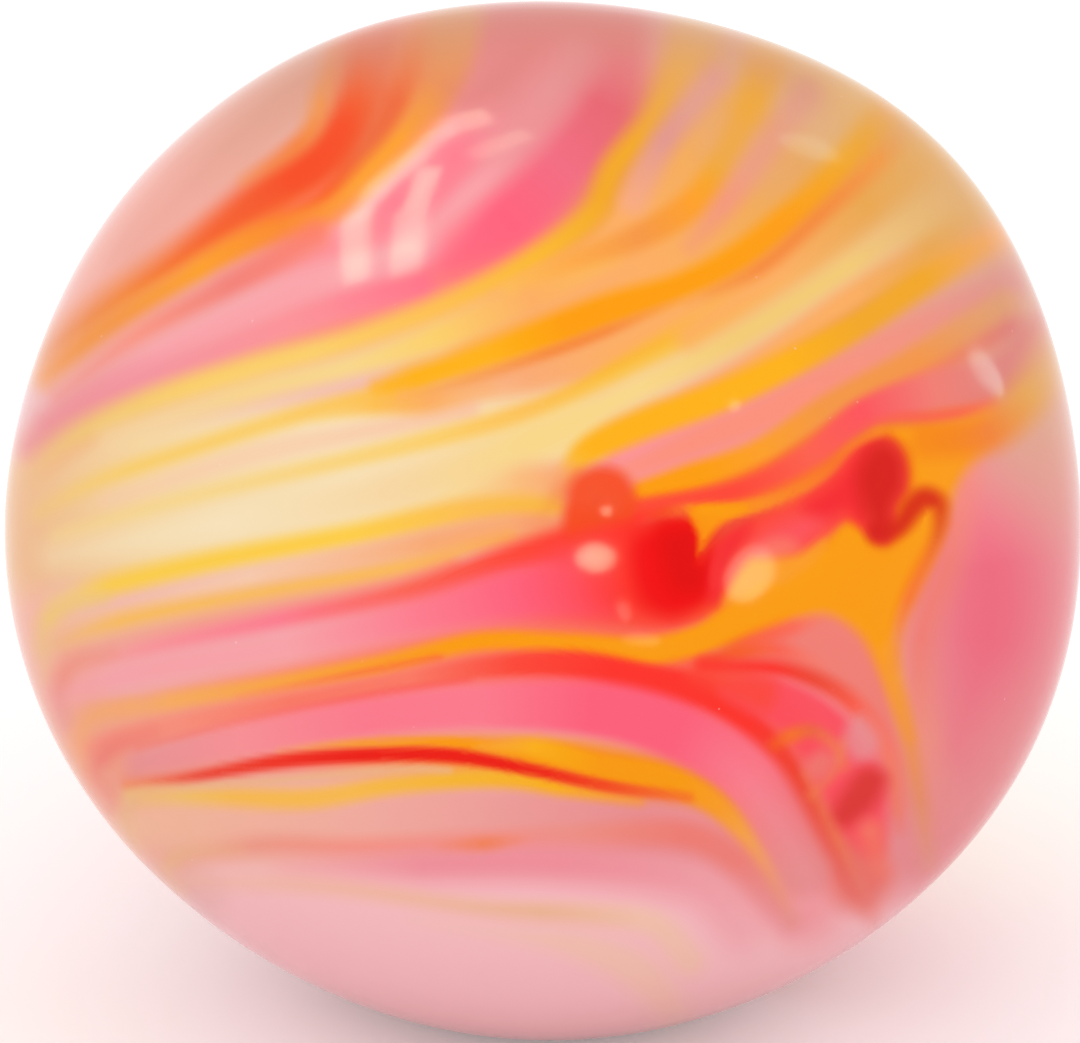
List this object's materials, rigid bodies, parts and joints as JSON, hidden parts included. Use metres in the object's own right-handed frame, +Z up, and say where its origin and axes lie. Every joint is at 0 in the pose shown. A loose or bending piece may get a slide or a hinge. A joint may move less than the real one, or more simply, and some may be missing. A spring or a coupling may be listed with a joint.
{
  "type": "squishy ball",
  "caption": "Soft palm-size squeeze ball: a marbled translucent rubber skin full of dough, closed at the back by a sealed-in filler plug, resting on a slight flat.",
  "frame": {"origin": "middle of the flat on the underside, on the surface that the ball rests on", "axes": "+Z up; -Y towards the viewer of the front; +Y towards the filler plug at the back, along its axis"},
  "size_m": [0.0701, 0.07, 0.0654],
  "materials": {
    "marbled_rubber": "glossy, milky translucent soft rubber marbled in cream, yellow, orange, pink and red",
    "dough": "matt cream dough",
    "plug_rubber": "satin pink soft rubber",
    "sealant": "glossy milky sealant"
  },
  "bodies": {
    "ball": {"skin": "marbled_rubber", "filling": "dough"},
    "plug_end": {"filler_plug": "plug_rubber", "sealant_bead": "sealant"}
  },
  "joints": [
    {"name": "squeeze", "type": "slide", "parent": "ball", "child": "plug_end", "axis": [0, -1, 0], "range_m": [0, 0.028], "stiffness_N_per_m": 1400, "deforming": ["skin", "filling"]}
  ]
}
